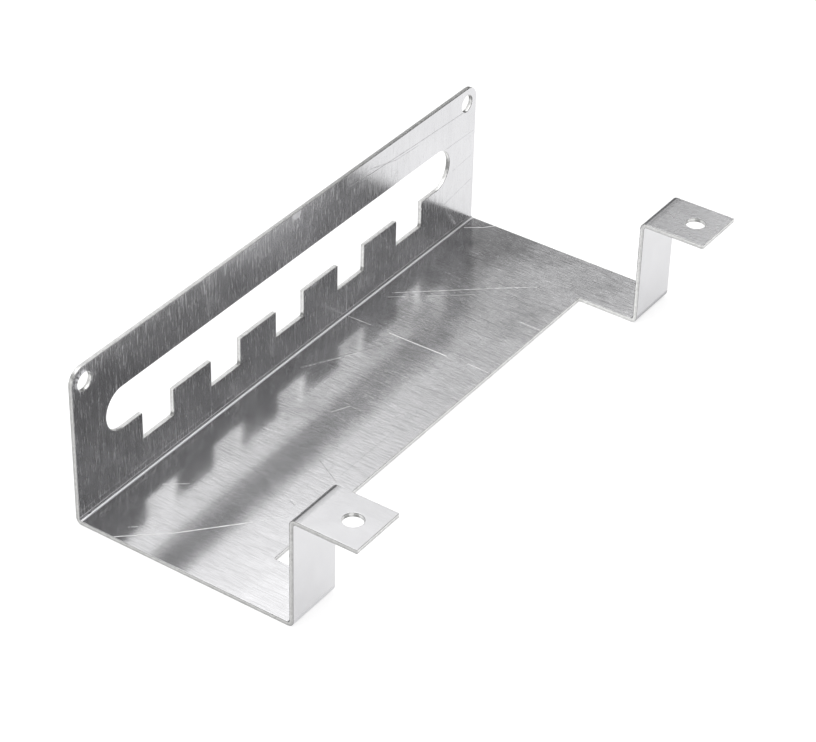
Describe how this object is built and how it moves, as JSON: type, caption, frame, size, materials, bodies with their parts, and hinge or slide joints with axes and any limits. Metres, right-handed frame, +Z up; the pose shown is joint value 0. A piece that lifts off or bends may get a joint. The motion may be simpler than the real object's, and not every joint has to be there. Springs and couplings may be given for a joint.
{
  "type": "indexing plate",
  "caption": "Folded sheet-metal indexing plate: a back plate with a notched slot, a flat floor, and two legs that end in drilled feet.",
  "frame": {"origin": "middle of the footprint, on the plane that the underside of the floor rests on", "axes": "+X along the back plate, +Y from the feet towards the back plate, +Z up the back plate"},
  "size_m": [0.208, 0.1014, 0.0545],
  "materials": {
    "aluminium_sheet": "mill-finish sheet with a fine straight grain square to the folds, lightly scratched"
  },
  "bodies": {
    "root": {"indexing_plate": "aluminium_sheet"}
  },
  "joints": []
}
